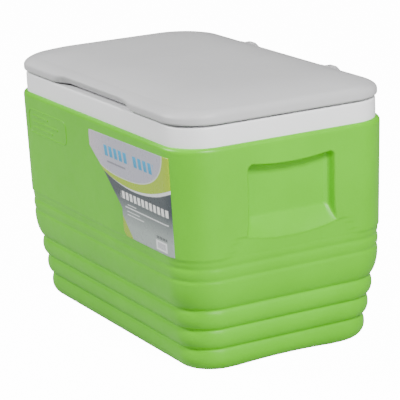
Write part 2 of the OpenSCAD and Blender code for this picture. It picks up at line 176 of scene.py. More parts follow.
def outline_columns(long_marks, end_marks, corner_steps):
    """Once round a rounded rectangle, counter-clockwise from the right end: for each column the
    side position along X and along Y (-1 to 1) and the turn of its normal, so that a point is
    side * (half size - radius) + radius * (cos turn, sin turn)."""
    turn = np.linspace(0, np.pi / 2, corner_steps + 1)[1:-1]
    ones_e, ones_l, ones_c = np.ones_like(end_marks), np.ones_like(long_marks), np.ones_like(turn)
    parts = [
        (ones_e, end_marks, 0 * ones_e),
        (ones_c, ones_c, turn),
        (long_marks[::-1], ones_l, np.pi / 2 * ones_l),
        (-ones_c, ones_c, turn + np.pi / 2),
        (-ones_e, end_marks[::-1], np.pi * ones_e),
        (-ones_c, -ones_c, turn + np.pi),
        (long_marks, -ones_l, 1.5 * np.pi * ones_l),
        (ones_c, -ones_c, turn + 1.5 * np.pi),
    ]
    return np.concatenate([np.array(p) for p in parts], axis=1)


def ring_grid(rows, columns, corner):
    """Grid of points over rows (height, inset, shrink, side) and the columns of an outline. A
    row is a rounded rectangle stepped in by its inset, and by its side as well along the front
    and back, then scaled towards the middle by its shrink. Missing sides are 0."""
    rows = np.pad(rows, ((0, 0), (0, 4 - rows.shape[1])))
    height, inset, shrink, side = (rows[:, i][:, None] for i in range(4))
    side_x, side_y, turn = (c[None, :] for c in columns)
    radius = corner(inset + side)
    x = side_x * (HALF_L - inset - radius) + radius * np.cos(turn)
    y = side_y * (HALF_W - inset - side - radius) + radius * np.sin(turn)
    return np.stack([x * shrink, y * shrink, height + 0 * x], axis=2)


def shell_corner(inset):
    """Corner radius of the shell at an inset: it tightens as the outline steps in."""
    return bpy.context.scene.cooler_shell.corner - 0.38 * inset


def tub_corner(inset):
    """Corner radius of the tub at an inset."""
    return 38 * MM - 0.3 * (inset - 33 * MM)


def lid_corner(inset):
    """Corner radius of the lid: constant, until the outline is too narrow for it."""
    return np.minimum(LID_CORNER, HALF_W - inset)


def walk(points, step):
    """Even steps along a polyline given as rows of numbers; length counts the first two."""
    gap = np.hypot(*np.diff(points[:, :2], axis=0).T)
    along = np.concatenate([[0], np.cumsum(gap)])
    keep = np.concatenate([[True], gap > 1e-9])
    marks = np.linspace(0, along[-1], max(2, int(along[-1] / step) + 1))
    return np.stack([np.interp(marks, along[keep], column[keep]) for column in points.T], axis=1)


def softened(points, reach):
    """The polyline with each corner rounded: a running mean, weighted as a bell of that reach."""
    fine = walk(points, reach / 4)
    weights = np.exp(-0.5 * (np.arange(-12, 13) / 4) ** 2)
    padded = np.pad(fine, ((12, 12), (0, 0)), mode="edge")
    soft = [np.convolve(column, weights / weights.sum(), "valid") for column in padded.T]
    soft = np.stack(soft, axis=1)
    soft[0], soft[-1] = points[0], points[-1]
    return soft


def spaced(points, spacing):
    """Rows picked off a fine polyline so that their distance follows spacing(height)."""
    gap = np.hypot(*np.diff(points[:, :2], axis=0).T)
    middle = 0.5 * (points[1:, 0] + points[:-1, 0])
    count = np.concatenate([[0], np.cumsum(gap / spacing(middle))])
    marks = np.linspace(0, count[-1], int(count[-1]) + 2)
    return np.stack([np.interp(marks, count, column) for column in points.T], axis=1)


def ease(value):
    """Smooth step from 0 to 1 with level ends."""
    value = np.clip(value, 0, 1)
    return value * value * (3 - 2 * value)


def quarter(z, inset, rise, run, steps):
    """Rows (height, inset) of a quarter ellipse: upright at its start, a rise above z, and level
    at its end, a run past the inset."""
    turn = np.linspace(0, np.pi / 2, steps)
    return np.stack([z + rise * (1 - np.sin(turn)), inset + run * (1 - np.cos(turn))], axis=1)


def add_object(name, data):
    """New object in the scene."""
    thing = bpy.data.objects.new(name, data)
    bpy.context.scene.collection.objects.link(thing)
    return thing


def new_piece(name, points, faces, material, body):
    """Mesh object at the origin, smooth shaded, that rides on a body."""
    mesh = bpy.data.meshes.new(name)
    mesh.from_pydata(points.tolist(), [], faces)
    mesh.polygons.foreach_set("use_smooth", np.ones(len(mesh.polygons), bool))
    mesh.materials.append(material)
    mesh.update()
    piece = add_object(name, mesh)
    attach(piece, body)
    return piece


def wrapped_faces(rows, columns):
    """Quads between neighbouring rows of a grid whose last column meets its first."""
    low = np.arange(rows - 1)[:, None] * columns
    here = low + np.arange(columns)[None, :]
    there = low + np.roll(np.arange(columns), -1)[None, :]
    quads = np.stack([here, there, there + columns, here + columns], axis=2)
    return quads.reshape(-1, 4).tolist()


def closed_piece(name, grid, material, body):
    """Closed skin from a grid of rings: its first and last rows shrink to one point each."""
    rings = grid[1:-1]
    count, columns = rings.shape[:2]
    poles = np.stack([grid[0].mean(axis=0), grid[-1].mean(axis=0)])
    points = np.concatenate([rings.reshape(-1, 3), poles])
    first, last = count * columns, count * columns + 1
    after = np.roll(np.arange(columns), -1)
    top = (count - 1) * columns
    faces = wrapped_faces(count, columns)
    faces += [(first, b, a) for a, b in zip(range(columns), after.tolist())]
    faces += [(last, top + a, top + b) for a, b in zip(range(columns), after.tolist())]
    return new_piece(name, points, faces, material, body)


def sheet_piece(name, front, back, material, body):
    """Thin closed plate between two open grids of the same size, with its edges walled."""
    rows, columns = front.shape[:2]
    points = np.concatenate([front.reshape(-1, 3), back.reshape(-1, 3)])
    index = np.arange(rows * columns).reshape(rows, columns)
    quads = np.stack([index[:-1, :-1], index[:-1, 1:], index[1:, 1:], index[1:, :-1]], axis=2)
    quads = quads.reshape(-1, 4)
    offset = rows * columns
    edge = np.concatenate([index[0], index[1:, -1], index[-1, -2::-1], index[-2:0:-1, 0]])
    after = np.roll(edge, -1)
    walls = np.stack([after, edge, edge + offset, after + offset], axis=1)
    faces = quads.tolist() + (quads[:, ::-1] + offset).tolist() + walls.tolist()
    return new_piece(name, points, faces, material, body)


# ------------------------ shell


def rib(low_z, low_t, crest_z, crest_t, high_z, high_t):
    """Rows (height, inset) of one swelling rib: two arcs of an ellipse, cut off a little before
    they turn level, from a lower groove out to the crest and back to the upper groove."""
    reach = math.radians(74)
    turn = np.linspace(0, reach, 13)
    down = np.sin(turn) / math.sin(reach)
    out = (1 - np.cos(turn)) / (1 - math.cos(reach))
    lower = np.stack([crest_z - (crest_z - low_z) * down, crest_t + (low_t - crest_t) * out])
    upper = np.stack([crest_z + (high_z - crest_z) * down, crest_t + (high_t - crest_t) * out])
    return np.concatenate([lower.T[::-1], upper.T[1:]])


def shell_profile():
    """Rows (height, inset) up the outside of the shell, from the base's edge to the top."""
    s = bpy.context.scene.cooler_shell
    grooves = [0.0] + [s.first_groove + k * s.rib_pitch for k in range(3)]
    crests = [s.low_rib - k * s.rib_step for k in range(3)]
    depths = [s.base_inset] + [t + s.groove for t in crests]
    parts = []
    for k in range(3):
        low_z, high_z = grooves[k], grooves[k + 1]
        crest_z = low_z + 0.6 * (high_z - low_z)
        parts.append(rib(low_z, depths[k], crest_z, crests[k], high_z, depths[k + 1]))
    parts.append(rib(grooves[3], depths[3], 131 * MM, 5.2 * MM, 136 * MM, 6.9 * MM))
    parts.append(rib(136 * MM, 6.9 * MM, 147 * MM, 4.7 * MM, 153 * MM, 6.2 * MM))
    panel = np.array([[158, 4.8], [164.6, 4.5], [166, 3.2]]) * MM
    return np.concatenate(parts + [panel, quarter(SHELL_TOP, 0, -6 * MM, 5 * MM, 9)])


def front_point(x, z, lift):
    """Points of the shell's front face, and of the corners beside it, lifted off its surface."""
    profile = softened(shell_profile(), bpy.context.scene.cooler_shell.rounding)
    inset = np.interp(z, profile[:, 0], profile[:, 1])
    radius = shell_corner(inset)
    centre_x, centre_y = HALF_L - inset - radius, HALF_W - inset - radius
    past = np.clip((np.abs(x) - centre_x) / radius, 0, 0.999)
    turn = np.arcsin(past)
    reach = radius + lift
    on_flat = np.clip(np.abs(x), None, centre_x)
    return np.stack([
        np.sign(x) * (on_flat + reach * np.sin(turn)),
        -(centre_y + reach * np.cos(turn)),
        z + 0 * x,
    ], axis=-1)


def hold_depth(y, z):
    """Depth of a hand-hold below the end face. Its back wall is level; the sides and the bowed
    grip edge fall steeply round a rounded corner, and the floor slopes out to a bowed lower
    edge while the sides flare beside it."""
    s = bpy.context.scene.cooler_shell
    half = 0.5 * s.hold_width
    flare = 10 * MM * np.clip((s.hold_bend + 6 * MM - z) / (40 * MM), 0, 1) ** 2
    side = half + flare - np.abs(y)
    top = s.hold_top - s.grip_bow * (1 - np.clip(y / half, -1, 1) ** 2) - z
    low_edge = s.hold_low + LOW_BOW * (y / (half + 8 * MM)) ** 2
    floor = (z - low_edge) / np.maximum(s.hold_bend - low_edge, 5 * MM)
    corner = 10 * MM
    both = corner - np.hypot(np.clip(corner - side, 0, None), np.clip(corner - top, 0, None))
    inside = np.minimum(np.minimum(side, top), both)
    steep = 0.82 * ease(inside / (4.2 * MM)) + 0.18 * ease(inside / (13 * MM))
    bend = 0.1
    slope = np.clip(floor, 0, 1 + bend)
    slope = slope - np.clip(slope - (1 - bend), 0, None) ** 2 / (4 * bend)
    return s.hold_depth * steep * slope


def step_detour(y, z):
    """Depth that keeps the band below the panel level up to a hand-hold's lower edge: the
    panel's step leaves its own height near the corners, climbs in an S and follows that edge."""
    s = bpy.context.scene.cooler_shell
    half, reach, step = 77 * MM, 105 * MM, 1.4 * MM
    climb = ease((reach - np.abs(y)) / (22 * MM))
    low_edge = s.hold_low + LOW_BOW * np.clip(np.abs(y) / half, 0, 1) ** 2
    edge = PANEL_Z + (low_edge - PANEL_Z) * climb
    return step * (1 - ease((z - edge + 0.6 * MM) / (1.8 * MM))) * (climb > 0)


def base_arch(grid):
    """Lift under the middle of each end, which leaves the corners standing as feet."""
    half_span, length_in, rise, top = 75 * MM, 66 * MM, 2.4 * MM, 16 * MM
    across = np.clip(1 - (grid[..., 1] / half_span) ** 2, 0, None)
    along = ease((np.abs(grid[..., 0]) - (HALF_L - length_in)) / (14 * MM))
    low = np.clip(1 - grid[..., 2] / top, 0, 1)
    return rise * across * along * low


def marks_between(dense_half, dense_step, coarse_step, half):
    """Positions from -1 to 1 over a side of the given half length, dense near its middle."""
    inner = np.arange(-dense_half, dense_half + dense_step / 2, dense_step)
    steps = max(2, int((half - dense_half) / coarse_step) + 1)
    outer = np.linspace(dense_half, half, steps)[1:]
    return np.concatenate([-outer[::-1], inner, outer]) / half


def shell_inside():
    """Rows (height, inset, shrink) over the top flange and down the shell's inner wall to its
    floor. Two close pairs of rows mark where the wall stands in behind a hand-hold."""
    return np.array([
        [321, 11, 1], [320.6, 12, 1], [318, 12, 1], [318, 5, 1], [314, 3.2, 1],
        [303, 3.6, 1], [298, 3.7, 1], [240, 6, 1], [166, 8.4, 1], [160, 8.6, 1],
        [136, 10, 1], [110, 10.8, 1], [91.8, 20, 1], [62.4, 24.4, 1],
        [33, 29, 1], [15, 29, 1], [6, 38, 1], [5, 38, 0.5], [5, 38, POLE],
    ]) * [MM, MM, 1]


def shell_rows():
    """Rows (height, inset, shrink) all the way round the wall of the shell: under the base, up
    the outside, over the top flange and down the inside to the floor."""
    s = bpy.context.scene.cooler_shell
    base = np.array([
        [2.0, 26.0, POLE], [2.0, 26.0, 0.5], [2.0, 26.0, 0.9], [2.0, 24.0, 1.0],
        [1.4, 22.6, 1.0], [0.4, 21.6, 1.0], [0.0, 20.0, 1.0], [0.0, 8.0, 1.0],
    ]) * [MM, MM, 1] + [0, s.base_inset, 0]

    def spacing(z):
        """Close rows over the ribs, the hand-holds and the top edge."""
        wall = np.where(z < 168 * MM, 1.9 * MM, 1.55 * MM)
        return np.where(z > 296 * MM, np.where(z > 312 * MM, 1.0 * MM, 5 * MM), wall)

    outside = spaced(softened(shell_profile(), s.rounding), spacing)
    outside = np.column_stack([outside, np.ones(len(outside))])
    return np.concatenate([base, outside, shell_inside()])


def make_shell(material):
    """Ribbed outer shell, with its hand-holds pressed into both end faces."""
    s = bpy.context.scene.cooler_shell
    ends = marks_between(80 * MM, 1.5 * MM, 6 * MM, HALF_W - s.corner)
    columns = outline_columns(np.linspace(-1, 1, 44), ends, 15)
    grid = ring_grid(shell_rows(), columns, shell_corner)
    x, y, z = grid[..., 0].copy(), grid[..., 1], grid[..., 2]
    at_end = np.isclose(np.abs(np.cos(columns[2])), 1)[None, :]
    above = ease((z - (PANEL_Z - 2 * MM)) / (2 * MM))
    outer_depth = np.maximum(hold_depth(y, z), step_detour(y, z) * above) * at_end

    behind_low, behind_high, behind_half = 165 * MM, 299 * MM, 90 * MM
    inner_depth = (s.hold_depth + 4 * MM) * ease((behind_half - np.abs(y)) / (8 * MM))
    inner_depth *= (z > behind_low) & (z < behind_high) & at_end
    inner = (np.arange(len(grid)) >= len(grid) - len(shell_inside()))[:, None]
    grid[..., 0] = x - np.sign(x) * np.where(inner, inner_depth, outer_depth)
    grid[..., 2] += base_arch(grid)
    piece = closed_piece("shell_skin", grid, material, "chest")
    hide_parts("outer_shell")


def rounded_bar(x, z, centre, size, radius):
    """Distance inside the edge of a rounded bar; it is negative outside the bar."""
    dx = np.abs(x - centre[0]) - size[0] / 2 + radius
    dz = np.abs(z - centre[1]) - size[1] / 2 + radius
    return radius - np.hypot(np.clip(dx, 0, None), np.clip(dz, 0, None)) - np.minimum(
        np.maximum(dx, dz), 0
    )


def make_badge(material):
    """Raised frame with plain bars on the front, proud of the shell where its height passes 0."""
    low, high = Vector((-216 * MM, 0, 257 * MM)), Vector((-78 * MM, 0, 303 * MM))
    step, frame_size, frame_corner, line = 0.8 * MM, (130 * MM, 38 * MM), 12 * MM, 2.6 * MM
    bar_length, bar_height, bar_gap = 104 * MM, 4.6 * MM, 9 * MM
    x, z = np.meshgrid(np.arange(low.x, high.x, step), np.arange(low.z, high.z, step))
    middle = (0.5 * (low.x + high.x), 0.5 * (low.z + high.z))
    around = rounded_bar(x, z, middle, frame_size, frame_corner)
    raised = np.minimum(around, line - around)
    for index, part in enumerate((0.52, 0.84, 0.66)):
        centre = (middle[0] - (1 - part) * 50 * MM, middle[1] + (1 - index) * bar_gap)
        bar = rounded_bar(x, z, centre, (part * bar_length, bar_height), 2.2 * MM)
        raised = np.maximum(raised, bar)
    lift = -0.6 * MM + 1.5 * MM * ease((raised + 0.8 * MM) / (2.0 * MM))
    front = front_point(x, z, lift)
    back = front_point(x, z, -2.0 * MM + 0 * x)
    sheet_piece("badge_relief", front, back, material, "chest")


# ------------------------ label


def make_label(material):
    """Printed film that follows the front of the shell and its corner. Across a row, points run
    from a swooping left edge to the right edge; up a column, from the foot to the top edge."""
    z_low, z_high, right = LABEL_BOX[0].z, LABEL_BOX[1].z, LABEL_BOX[1].x
    height = np.linspace(0, 1, 110)
    edge_z = np.array([169, 172, 176, 200, 207, 212, 230, 251, 282, 300, 307]) * MM
    edge_x = np.array([93, 88, 86, 85.5, 86, 81, 60, 36, -6, -6.5, -5]) * MM
    z = (z_low + (z_high - z_low) * height)[:, None]
    left = np.interp(z, edge_z, edge_x)
    across = np.linspace(0, 1, 130)[None, :]
    x = left + (right - left) * across
    top_dip = 3 * MM * (1 - across) * height[:, None] ** 4
    z = z + 0 * x - top_dip
    front = front_point(x, z, bpy.context.scene.cooler_label.lift)
    back = front_point(x, z, -0.4 * MM)
    piece = sheet_piece("printed_label", front, back, material, "chest")
    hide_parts("label")


# ------------------------ liner


def make_liner(material):
    """White tub and rim in one wall: under the floor, up behind the tub, out under the ledge,
    round the skirt, over the ledge with its drip groove, and down the inside to the floor."""
    s = bpy.context.scene.cooler_lid
    rim, mouth, top = s.rim_inset / MM, s.mouth_inset / MM, RIM_TOP / MM
    low = LINER_BOX[0].z / MM
    floor = low + 2.5
    under = np.array([
        [low, 60, POLE], [low, 60, 0.5], [low, 60, 1], [low + 3.5, 52.5, 1], [low + 14, 48.6, 1],
        [300, mouth - 0.2, 1], [top - 6, mouth - 2.5, 1], [top - 2.5, mouth - 2.5, 1],
        [top - 2.5, rim + 3, 1], [top - 10, rim + 3, 1], [316, rim + 3, 1], [316, rim + 0.6, 1],
    ])
    lip = quarter(top, rim, -2.2, 2.2, 7)
    ledge = np.array([
        [top, rim + 8], [top, rim + 14], [top - 1.1, rim + 15.2], [top - 1.3, rim + 17],
        [top - 1.1, rim + 18.8], [top, rim + 20], [top, mouth - 4],
    ])
    roll = quarter(top, mouth, -3.2, -3.2, 7)[::-1]
    fillet = quarter(floor, 51, 12, 12, 7)
    wall = np.concatenate([[[321, rim + 0.3]], [[330, rim]], lip, ledge, roll, fillet])
    wall = softened(wall * MM, 0.8 * MM)

    def spacing(z):
        """Wide rows down the plain walls, close ones elsewhere."""
        return np.where((z > 60 * MM) & (z < 340 * MM), 9 * MM, 1.1 * MM)

    wall = spaced(wall, spacing)
    wall = np.column_stack([wall, np.ones(len(wall))])
    bottom = np.array([[floor, 63, 0.97], [floor, 63, 0.6], [floor, 63, POLE]]) * [MM, MM, 1]
    rows = np.concatenate([under * [MM, MM, 1], wall, bottom])
    columns = outline_columns(np.linspace(-1, 1, 30), np.linspace(-1, 1, 18), 16)

    def corner(inset):
        """The shell's corners round the skirt, then the tub's, wider over the ledge."""
        over_ledge = tub_corner(inset) + 0.42 * np.clip(33 * MM - inset, 0, None)
        return np.where(inset < 20.5 * MM, shell_corner(inset), over_ledge)

    grid = ring_grid(rows, columns, corner)
    piece = closed_piece("rim_and_tub", grid, material, "chest")
    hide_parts("liner")


# ------------------------ lid


def dome_height(inset):
    """Height of the lid's dome over an inset from the edge: steep at first, then nearly flat."""
    part = np.clip((DOME_FLAT - inset) / (DOME_FLAT - DOME_EDGE), 0, 1)
    return CROWN_Z - bpy.context.scene.cooler_lid.shoulder * part**3.5


def side_fall(inset):
    """Extra inset along the front and back: the dome falls away more towards them."""
    fall = bpy.context.scene.cooler_lid.side_fall
    return fall * (DOME_FLAT - inset) / (DOME_FLAT - DOME_EDGE)


def recess_push(x, z):
    """How far the finger recess pushes the lid's front in: a scoop that deepens towards the
    lip, with slanted ends."""
    s = bpy.context.scene.cooler_lid
    up = np.clip((z - LIP_Z) / s.recess_height, 0, 1)
    half = s.recess_half - 7 * MM * up
    ends = np.clip((half - np.abs(x)) / s.recess_ramp, 0, 1)
    return s.recess_depth * ends * (1 - up) ** 0.9


def lid_columns():
    """Columns of the lid, close together along the front and back for the recess."""
    return outline_columns(np.linspace(-1, 1, 130), np.linspace(-1, 1, 40), 18)


def scooped(grid, wall, reach=40 * MM, fade=16 * MM):
    """The grid with its front pushed in by the recess; inner faces keep a wall behind it. The
    push fades in from a reach inside the front."""
    pushed = recess_push(grid[..., 0], grid[..., 2] - wall)
    front = ease((-grid[..., 1] - (HALF_W - reach)) / fade)
    grid[..., 1] += pushed * front
    return grid


def dome_underside(drop):
    """Rows (height, inset, shrink, side) from the dome's edge to its flat middle, a drop below
    its top face."""
    inset = np.array([11, 20, 40, 75, 130]) * MM
    return np.stack([dome_height(inset) - drop, inset, 1 + 0 * inset, side_fall(inset)], axis=1)


def make_cover(material):
    """Domed grey cover: under the dome, down inside the edge, round the lip, up the edge, over
    the shoulder and up the dome."""
    s = bpy.context.scene.cooler_lid
    inset, wall = s.inset, s.wall
    start = dome_height(DOME_EDGE)
    dome_t = np.concatenate([np.linspace(10, 40, 16), np.linspace(45, 130, 16)]) * MM
    edge_z, lip_z, lip_roll = LIP_Z + s.edge, LIP_Z + 0.7 * MM, 2.4 * MM
    lip = quarter(lip_z, inset, lip_roll, lip_roll, 12)[::-1]
    shoulder = quarter(start, inset, edge_z - start, DOME_EDGE - inset, 12)
    dome = np.stack([dome_height(dome_t), dome_t], axis=1)[1:]
    outside = softened(np.concatenate([lip, shoulder, dome]), 1.2 * MM)

    def spacing(z):
        """Close rows over the edge and shoulder, wide ones over the dome."""
        return np.where(z < 376 * MM, 1.15 * MM, 5 * MM)

    outside = spaced(outside, spacing)
    rise = np.clip((outside[:, 0] - edge_z) / (start - edge_z), 0, 1) ** 2
    side = np.where(outside[:, 0] < start, s.side_fall * rise, side_fall(outside[:, 1]))
    outside = np.column_stack([outside, np.ones(len(outside)), side])
    flat_z, flat_t = outside[-1, :2]
    top = np.array([[flat_z, flat_t, shrink, 0] for shrink in (0.8, 0.5, 0.2, POLE)])
    under = dome_underside(wall)[::-1]
    middle = np.array([[under[0, 0], under[0, 1], shrink, 0] for shrink in (POLE, 0.5)])
    inside = np.array([[z, inset + wall, 1, 0] for z in (edge_z, LIP_Z + 3 * MM, lip_z)])
    columns = lid_columns()
    rows_in, rows_out = np.concatenate([middle, under, inside]), np.concatenate([outside, top])
    grid_in = scooped(ring_grid(rows_in, columns, lid_corner), wall)
    grid_out = scooped(ring_grid(rows_out, columns, lid_corner), 0.0)
    grid = np.concatenate([grid_in, grid_out])
    piece = closed_piece("cover_skin", grid, material, "lid")
    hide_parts("lid_cover")


def pan_corner(inset):
    """Corner radius of the lid's inner parts: the lid's near its edge, then tighter."""
    tighter = np.clip(LID_CORNER + 14 * MM - inset, 12 * MM, LID_CORNER)
    return np.where(inset < 20 * MM, lid_corner(inset), tighter)


def make_pan(material):
    """White lower face of the lid: a sunk middle panel, the plug's rounded edge and side, the
    flange, and back over its top."""
    s = bpy.context.scene.cooler_lid
    plug, seat = PAN_BOX[0].z / MM, PAN_BOX[1].z / MM - 1.6
    inner, edge = s.mouth_inset / MM + 3.5, (s.inset + s.wall) / MM + 0.15
    above, flange_top = plug + 3.6, seat + 6.6
    roll = quarter(plug, inner, 4, 4, 7)[::-1]
    lower = np.concatenate([
        [[plug + 1.5, inner + 40], [plug + 1.5, inner + 27], [plug, inner + 25], [plug, inner + 8]],
        roll, [[seat, inner], [seat, 8.6], [seat + 5, 8.2], [seat + 5, edge], [flange_top, edge]],
    ])
    lower = spaced(softened(lower * MM, 0.6 * MM), lambda z: 1.4 * MM + 0 * z)
    lower = np.column_stack([lower, np.ones(len(lower))])
    middle = np.array([[lower[0, 0], lower[0, 1], shrink] for shrink in (POLE, 0.4, 0.8)])
    back = np.array([
        [flange_top, inner + 2.5, 1], [plug + 6, inner + 2.5, 1], [above, inner + 5, 1],
        [above, inner + 40, 1], [above, inner + 40, 0.5], [above, inner + 40, POLE],
    ]) * [MM, MM, 1]
    grid = ring_grid(np.concatenate([middle, lower, back]), lid_columns(), pan_corner)
    scooped(grid, s.wall, 30 * MM, 10 * MM)
    piece = closed_piece("lid_pan", grid, material, "lid")
    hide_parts("lid_liner")


def make_lid_foam(material):
    """Foam between the cover and the pan: under the plug's floor, up beside it, out over the
    flange, and back under the dome."""
    s = bpy.context.scene.cooler_lid
    low, top = PAN_BOX[0].z + 3.8 * MM, PAN_BOX[1].z + 5.3 * MM
    inner, outer = s.mouth_inset + 6.4 * MM, s.inset + s.wall + 0.4 * MM
    floor = np.array([[low, inner + 40 * MM, shrink, 0] for shrink in (POLE, 0.5, 1)])
    side = np.array([
        [low, inner + 3 * MM, 1, 0], [low + 3 * MM, inner, 1, 0], [top, inner, 1, 0],
        [top, outer, 1, 0],
    ])
    dome = dome_underside(s.wall + 0.2 * MM)
    middle = np.array([[dome[-1, 0], dome[-1, 1], shrink, 0] for shrink in (0.5, POLE)])
    grid = ring_grid(np.concatenate([floor, side, dome, middle]), lid_columns(), pan_corner)
    scooped(grid, s.wall + 0.3 * MM)
    piece = closed_piece("foam_in_lid", grid, material, "lid")
    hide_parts("lid_foam")


def make_lug(side, material):
    """Hinge lug: a closed outline in Y and Z, carried along X with its ends rolled in, round a
    bore for the pin. Its knuckle runs into its shoulder where both arcs have the same slope."""
    low, high = LUG_BOXES[side]
    radius, soft, bore, roll = 6.9 * MM, 4.9 * MM, 2.1 * MM, 1.6 * MM
    shoulder_y, joined = 166.5 * MM, 43
    below = np.radians(np.linspace(-115, joined, 18))
    above = np.radians(np.linspace(joined, 90, 8))
    knuckle = np.stack([HINGE.y + radius * np.cos(below), HINGE.z + radius * np.sin(below)], axis=1)
    shoulder = np.stack([
        shoulder_y + soft * np.cos(above), high.z - 2.9 * MM + soft * (np.sin(above) - 1)
    ], axis=1)
    ramp = np.array([[158, 369.6], [152, 371.8], [150.5, 371.8]]) * MM
    inner = np.array([[150, 369], [150, 354], [152, 352.6], [164, 352.6]]) * MM
    outline = np.concatenate([knuckle, shoulder, ramp, inner])
    outline = softened(np.concatenate([outline, outline[:1]]), 0.7 * MM)
    outline = walk(outline, 0.9 * MM)[:-1]
    around = np.arctan2(outline[:, 1] - HINGE.z, outline[:, 0] - HINGE.y)
    hole = np.stack([HINGE.y + bore * np.cos(around), HINGE.z + bore * np.sin(around)], axis=1)
    inward = hole - outline
    inward /= np.linalg.norm(inward, axis=1)[:, None]
    turn = np.linspace(0, np.pi / 2, 6)
    rolled = [
        (roll * (1 - math.cos(a)), outline + inward * roll * (1 - math.sin(a))) for a in turn
    ]
    rings = [(low.x, hole)] + [(low.x + shift, ring) for shift, ring in rolled]
    rings += [(high.x - shift, ring) for shift, ring in rolled[::-1]] + [(high.x, hole)]
    grid = np.stack([np.column_stack([np.full(len(ring), x), ring]) for x, ring in rings])
    rows, columns = grid.shape[:2]
    here = np.arange(columns)
    after, last = np.roll(here, -1), (rows - 1) * columns
    faces = wrapped_faces(rows, columns)
    faces += np.stack([last + here, last + after, after, here], axis=1).tolist()
    piece = new_piece("lug_" + side, grid.reshape(-1, 3), faces, material, "lid")
    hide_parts("lid_hinge_" + side)


# ------------------------ finishes


class Tree:
    """Short calls that add shader nodes to one material and join them."""

    def __init__(self, name):
        self.material = bpy.data.materials.new(name)
        self.material.use_nodes = True
        self.nodes = self.material.node_tree.nodes
        self.links = self.material.node_tree.links
        self.shader = self.nodes["Principled BSDF"]
        self.place = self.nodes.new("ShaderNodeTexCoord").outputs["Object"]

    def feed(self, socket, value):
        """Joins a socket to another, or sets its number."""
        if isinstance(value, bpy.types.NodeSocket):
            self.links.new(value, socket)
        else:
            socket.default_value = value

    def math(self, operation, a, b=0.0, c=0.0):
        """Sum, product or other operation on up to three values."""
        node = self.nodes.new("ShaderNodeMath")
        node.operation = operation
        for socket, value in zip(node.inputs, (a, b, c)):
            self.feed(socket, value)
        return node.outputs[0]

    def noise(self, scale, detail, roughness=0.5):
        """Cloudy noise over the object, from 0 to 1."""
        node = self.nodes.new("ShaderNodeTexNoise")
        self.feed(node.inputs["Vector"], self.place)
        node.inputs["Scale"].default_value = scale
        node.inputs["Detail"].default_value = detail
        node.inputs["Roughness"].default_value = roughness
        return node.outputs["Fac"]

    def spread(self, value, low, high, to_low, to_high):
        """Value carried from one range to another, held at its ends."""
        node = self.nodes.new("ShaderNodeMapRange")
        for socket, number in zip(node.inputs, (value, low, high, to_low, to_high)):
            self.feed(socket, number)
        return node.outputs["Result"]

    def mix(self, factor, a, b):
        """Colour a where the factor is 0, and b where it is 1."""
        node = self.nodes.new("ShaderNodeMix")
        node.data_type = "RGBA"
        self.feed(node.inputs["Factor"], factor)
        self.feed(node.inputs[6], a)
        self.feed(node.inputs[7], b)
        return node.outputs[2]

    def bump(self, height, depth, strength=1.0, under=None):
        """Normal of a relief of a depth, laid over another normal."""
        node = self.nodes.new("ShaderNodeBump")
        node.inputs["Strength"].default_value = strength
        node.inputs["Distance"].default_value = depth
        self.feed(node.inputs["Height"], height)
        if under is not None:
            self.feed(node.inputs["Normal"], under)
        return node.outputs["Normal"]


def rgba(values, gain=1.0):
    """Four numbers of a colour, brightened or darkened by a gain."""
    return tuple(min(1.0, v * gain) for v in values) + (1.0,)


def moulded(name, tint, roughness, grain, flow, variation=0.06):
    """Moulded plastic: faint cloudy colour, uneven gloss, a fine grain and slow waviness."""
    tree = Tree(name)
    cloud = tree.noise(9.0, 4.0)
    speck = tree.noise(700.0, 2.0)
    tone = tree.math("MULTIPLY_ADD", speck, 0.3, tree.math("MULTIPLY", cloud, 0.7))
    base = tree.mix(tree.spread(tone, 0.35, 0.65, 0.0, 1.0),
                    rgba(tint, 1 - variation), rgba(tint, 1 + variation))
    tree.feed(tree.shader.inputs["Base Color"], base)
    gloss = tree.spread(tree.noise(60.0, 5.0, 0.6), 0.3, 0.7, roughness - 0.05, roughness + 0.05)
    tree.feed(tree.shader.inputs["Roughness"], gloss)
    waves = tree.bump(tree.noise(14.0, 2.0), flow)
    fine = tree.bump(tree.noise(1500.0, 3.0, 0.6), grain, 0.6, waves)
    tree.feed(tree.shader.inputs["Normal"], fine)
    return tree


